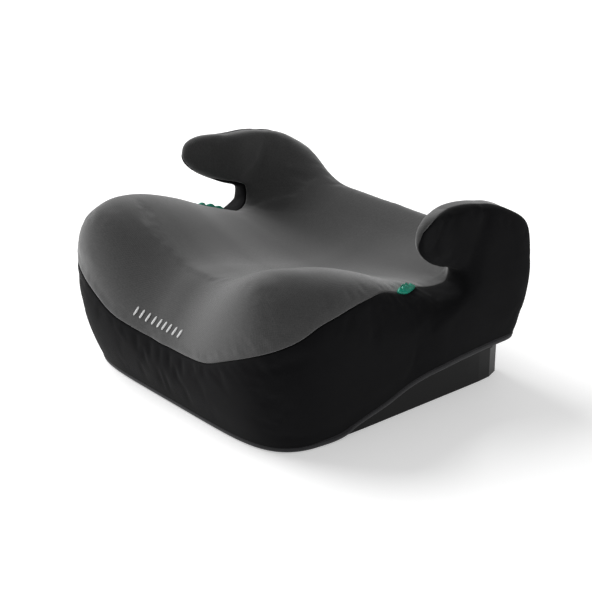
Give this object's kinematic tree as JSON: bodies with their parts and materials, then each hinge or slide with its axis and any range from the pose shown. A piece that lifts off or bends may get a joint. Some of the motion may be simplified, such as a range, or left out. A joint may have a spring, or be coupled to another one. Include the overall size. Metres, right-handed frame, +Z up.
{
  "type": "booster seat",
  "caption": "Backless child booster seat: moulded base with two forward-curling belt arms, foam pads and a two-tone sewn cover with belt guides in the slots.",
  "frame": {"origin": "bottom centre of the whole seat, on the floor plane", "axes": "+X is the viewer's right when facing the front, -Y is the front, +Z is up"},
  "size_m": [0.41, 0.3766, 0.2252],
  "materials": {
    "shell_plastic": "satin injection-moulded polypropylene",
    "foam": "open-cell polyurethane foam, hidden by the cover",
    "grey_cloth": "heather grey stretch knit with a fine weave",
    "black_cloth": "smooth black stretch knit",
    "hem_tape": "folded and stitched hem",
    "elastic": "ribbed woven elastic",
    "hook_plastic": "moulded hooks",
    "guide_plastic": "teal green moulded belt guide",
    "badge_print": null
  },
  "bodies": {
    "root": {"base_shell": "shell_plastic", "seat_foam": "foam", "side_foam": "foam", "arm_foam_inner_left": "foam", "arm_foam_inner_right": "foam", "arm_foam_outer_left": "foam", "arm_foam_outer_right": "foam", "cover_seat_panel": "grey_cloth", "cover_front_band": "black_cloth", "cover_rear_panel": "black_cloth", "cover_arm_inner_left": "grey_cloth", "cover_arm_inner_right": "grey_cloth", "cover_arm_outer_left": "black_cloth", "cover_arm_outer_right": "black_cloth", "hem_binding": "hem_tape", "hem_elastic": "elastic", "hem_hooks": "hook_plastic", "belt_guide_left": "guide_plastic", "belt_guide_right": "guide_plastic", "front_badge": "badge_print"}
  },
  "joints": []
}
